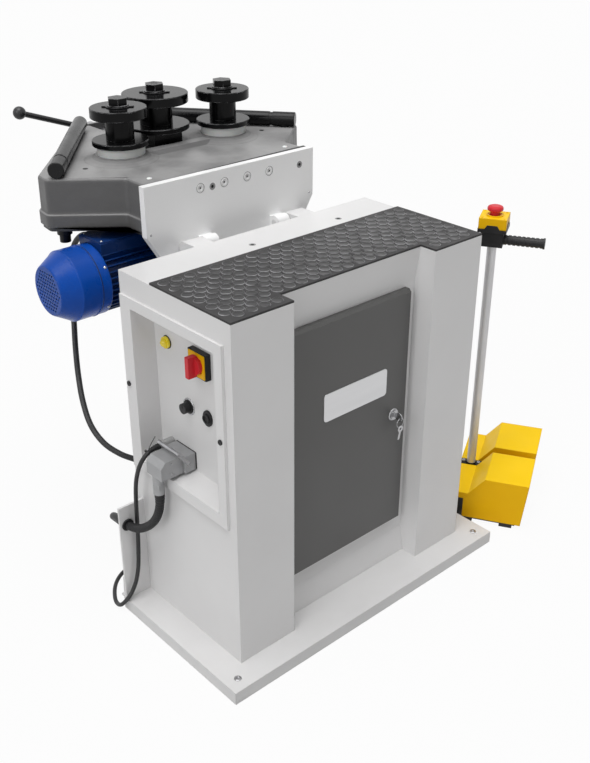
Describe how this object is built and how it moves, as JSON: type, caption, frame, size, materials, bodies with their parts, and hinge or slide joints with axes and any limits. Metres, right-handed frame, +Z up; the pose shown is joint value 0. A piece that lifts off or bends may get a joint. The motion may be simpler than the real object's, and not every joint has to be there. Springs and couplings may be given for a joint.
{
  "type": "angle roll bender",
  "caption": "Roll bender with driven rolls and a screw-fed press roll on a tilting cast head, a cabinet with a control tray and a pedal station with a stop button.",
  "frame": {"origin": "on the floor under the middle of the cabinet's length, on the underside of the base plate", "axes": "+X along the cabinet's length, away from the control tray; +Y to the back, where the head hangs; +Z up"},
  "size_m": [1.3933, 1.2653, 1.2421],
  "materials": {
    "frame_white": "satin paint",
    "door_grey": "satin paint",
    "casting_grey": "grey paint",
    "dark_sheet": "dark paint",
    "mat_rubber": "matt",
    "steel": "bright",
    "black_oxide": "black oxide",
    "black_plastic": "matt",
    "grey_plastic": "matt",
    "yellow_plastic": "gloss",
    "red_plastic": "gloss",
    "nylon": "matt",
    "motor_blue": "blue paint",
    "plug_grey": "cast",
    "cord_rubber": "matt",
    "unit_grey": "satin"
  },
  "bodies": {
    "machine": {"base_plate": "frame_white", "cable_guard": "frame_white", "cabinet_shell": "frame_white", "top_mat": "mat_rubber", "control_tray": "frame_white", "pilot_lamp": "yellow_plastic", "isolator_base": "black_plastic", "connector_housing": "plug_grey", "plug_hood": "plug_grey", "mains_gland": "grey_plastic", "mains_cord": "cord_rubber", "mains_coil": "cord_rubber", "mains_plug": "black_plastic", "pedal_cord": "cord_rubber", "hinge_blocks": "frame_white", "control_gear": "unit_grey", "pedal_base": "black_plastic", "pedal_hoods": "yellow_plastic", "station_post": "steel", "handle_block": "black_plastic", "estop_cover": "yellow_plastic"},
    "door": {"door_panel": "door_grey"},
    "lock": {"lock_key": "steel"},
    "isolator": {"isolator_handle": "red_plastic"},
    "dial": {"dial_knob": "black_plastic"},
    "lever": {"connector_lever": "steel"},
    "stop": {"estop_button": "red_plastic"},
    "pedal_left": {"left_pedal": "dark_sheet"},
    "pedal_right": {"right_pedal": "dark_sheet"},
    "head": {"head_plate": "frame_white", "head_casting": "casting_grey", "bottom_cover": "dark_sheet", "nylon_collars": "nylon", "shaft_bearings": "steel", "gearbox": "motor_blue", "motor_body": "motor_blue", "fan_cover": "motor_blue", "motor_cord": "cord_rubber", "nut_bracket": "steel"},
    "fan": {"motor_fan": "black_plastic"},
    "pinion": {"drive_pinion": "steel"},
    "roll_left": {"left_shaft": "steel", "left_gear": "steel", "left_lower_flange": "black_oxide", "left_hub": "black_oxide", "left_upper_flange": "black_oxide"},
    "roll_right": {"right_shaft": "steel", "right_gear": "steel", "right_lower_flange": "black_oxide", "right_hub": "black_oxide", "right_upper_flange": "black_oxide"},
    "carriage": {"press_carriage": "black_oxide", "press_shaft": "steel"},
    "roll_press": {"press_lower_flange": "black_oxide", "press_hub": "black_oxide", "press_upper_flange": "black_oxide"},
    "screw": {"press_screw": "steel", "tommy_bar": "black_oxide"},
    "arm_left": {"left_guide_arm": "black_oxide"},
    "arm_right": {"right_guide_arm": "black_oxide"}
  },
  "joints": [
    {"name": "head_tilt", "type": "hinge", "parent": "machine", "child": "head", "pos_m": [0, 0.275, 0.9205], "axis": [1, 0, 0], "range_deg": [0, 90]},
    {"name": "left_roll_spin", "type": "hinge", "parent": "head", "child": "roll_left", "pos_m": [-0.1655, 0.544, 1.15], "axis": [0, 0, 1], "continuous": true},
    {"name": "right_roll_spin", "type": "hinge", "parent": "head", "child": "roll_right", "pos_m": [0.1655, 0.544, 1.15], "axis": [0, 0, 1], "continuous": true},
    {"name": "pinion_spin", "type": "hinge", "parent": "head", "child": "pinion", "pos_m": [0, 0.50098, 1.004], "axis": [0, 0, 1], "continuous": true},
    {"name": "fan_spin", "type": "hinge", "parent": "head", "child": "fan", "pos_m": [-0.42, 0.434, 0.841], "axis": [1, 0, 0], "continuous": true},
    {"name": "press_slide", "type": "slide", "parent": "head", "child": "carriage", "axis": [0, -1, 0], "range_m": [-0.0601, 0.0101]},
    {"name": "press_screw_turn", "type": "hinge", "parent": "carriage", "child": "screw", "pos_m": [0, 0.8, 1.059], "axis": [0, -1, 0], "range_deg": [-3600, 600]},
    {"name": "press_roll_spin", "type": "hinge", "parent": "carriage", "child": "roll_press", "pos_m": [0, 0.622, 1.16], "axis": [0, 0, 1], "continuous": true},
    {"name": "left_arm_swing", "type": "hinge", "parent": "head", "child": "arm_left", "pos_m": [-0.365, 0.518, 1.108], "axis": [0, 0, 1], "range_deg": [0, 70]},
    {"name": "right_arm_swing", "type": "hinge", "parent": "head", "child": "arm_right", "pos_m": [0.365, 0.518, 1.108], "axis": [0, 0, -1], "range_deg": [0, 70]},
    {"name": "door_swing", "type": "hinge", "parent": "machine", "child": "door", "pos_m": [-0.202, -0.13325, 0.5], "axis": [0, 0, -1], "range_deg": [0, 88]},
    {"name": "lock_turn", "type": "hinge", "parent": "door", "child": "lock", "pos_m": [0.151, -0.14, 0.505], "axis": [0, 1, 0], "range_deg": [0, 90]},
    {"name": "isolator_turn", "type": "hinge", "parent": "machine", "child": "isolator", "pos_m": [-0.37, -0.007, 0.77], "axis": [1, 0, 0], "range_deg": [0, 90]},
    {"name": "dial_turn", "type": "hinge", "parent": "machine", "child": "dial", "pos_m": [-0.35, 0.052, 0.633], "axis": [1, 0, 0], "range_deg": [-135, 135]},
    {"name": "lever_turn", "type": "hinge", "parent": "machine", "child": "lever", "pos_m": [-0.367, 0.074, 0.49], "axis": [0, 1, 0], "range_deg": [0, 36]},
    {"name": "estop_push", "type": "slide", "parent": "machine", "child": "stop", "axis": [0, 0, -1], "range_m": [0, 0.006], "stiffness_N_per_m": 1500, "springref_m": -0.004},
    {"name": "left_pedal_press", "type": "hinge", "parent": "machine", "child": "pedal_left", "pos_m": [0.658, -0.05232, 0.029], "axis": [0.866, 0.5, 0], "range_deg": [0, 9], "stiffness_Nm_per_rad": 25, "springref_deg": -6.88},
    {"name": "right_pedal_press", "type": "hinge", "parent": "machine", "child": "pedal_right", "pos_m": [0.658, -0.05232, 0.029], "axis": [0.866, 0.5, 0], "range_deg": [0, 9], "stiffness_Nm_per_rad": 25, "springref_deg": -6.88}
  ],
  "couplings": [
    {"joint": "right_roll_spin", "follows": "left_roll_spin", "ratio": 1},
    {"joint": "pinion_spin", "follows": "left_roll_spin", "ratio": -2.3529},
    {"joint": "press_slide", "follows": "press_screw_turn", "m_per_rad": 0.00095493},
    {"joint": "fan_spin", "follows": "left_roll_spin", "ratio": 70.588}
  ]
}
